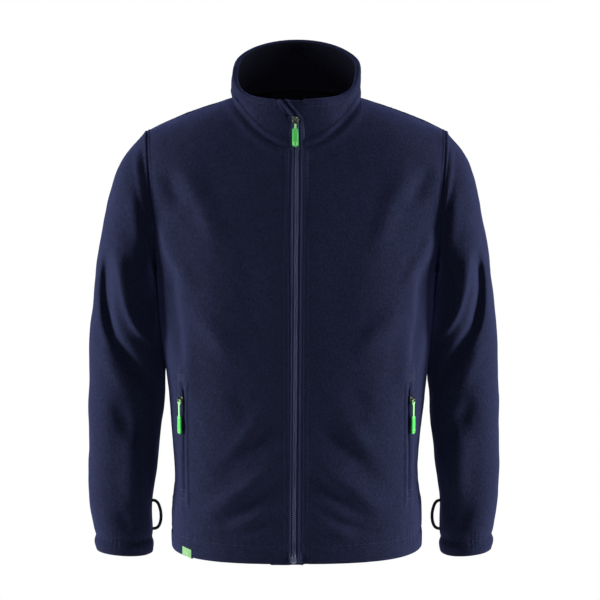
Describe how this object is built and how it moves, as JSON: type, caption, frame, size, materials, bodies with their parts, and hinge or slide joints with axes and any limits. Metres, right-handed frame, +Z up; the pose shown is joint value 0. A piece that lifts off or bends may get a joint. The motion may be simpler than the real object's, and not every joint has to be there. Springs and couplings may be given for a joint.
{
  "type": "fleece zip jacket",
  "caption": "Long-sleeved fleece jacket with a stand-up collar, a full front zip with chin guard and wind flap, and zipped side pockets, filled out as worn.",
  "frame": {"origin": "the middle of the neck at the height where the shoulder seams meet the collar, where the wearer's shoulders carry it", "axes": "+Z up along the body, -Y out of the front, +X towards the wearer's left"},
  "size_m": [0.639, 0.2765, 0.7875],
  "materials": {
    "navy_fleece": "matte brushed fleece",
    "navy_zip_tape": "woven tape with moulded coil",
    "painted_zinc": "semi-gloss",
    "green_moulded_grip": "soft moulded",
    "green_woven_label": "woven",
    "black_cord": "braided elastic cord"
  },
  "bodies": {
    "jacket": {"front_left": "navy_fleece", "front_right": "navy_fleece", "back": "navy_fleece", "sleeve_left": "navy_fleece", "sleeve_right": "navy_fleece", "collar": "navy_fleece", "wind_flap": "navy_fleece", "chin_guard": "navy_fleece", "pocket_zip_left": "navy_fleece", "pocket_zip_right": "navy_fleece", "zip_tape_left": "navy_zip_tape", "zip_tape_right": "navy_zip_tape", "zip_slider": "painted_zinc", "zip_box": "painted_zinc", "pocket_slider_left": "painted_zinc", "pocket_slider_right": "painted_zinc", "hem_label": "green_woven_label", "cuff_loop_left": "black_cord", "cuff_loop_right": "black_cord"},
    "zip_pull": {"zip_pull": "green_moulded_grip"},
    "pocket_pull_left": {"pocket_pull_left": "green_moulded_grip"},
    "pocket_pull_right": {"pocket_pull_right": "green_moulded_grip"}
  },
  "joints": [
    {"name": "zip_pull_hinge", "type": "hinge", "parent": "jacket", "child": "zip_pull", "pos_m": [-0.0015, -0.08658, -0.02889], "axis": [-1, 0, 0], "range_deg": [0, 150]},
    {"name": "pocket_pull_left_hinge", "type": "hinge", "parent": "jacket", "child": "pocket_pull_left", "pos_m": [0.17636, -0.09377, -0.44942], "axis": [-0.6311, -0.7706, -0.0893], "range_deg": [0, 150]},
    {"name": "pocket_pull_right_hinge", "type": "hinge", "parent": "jacket", "child": "pocket_pull_right", "pos_m": [-0.17649, -0.09376, -0.44942], "axis": [-0.6293, 0.772, 0.0895], "range_deg": [0, 150]}
  ]
}
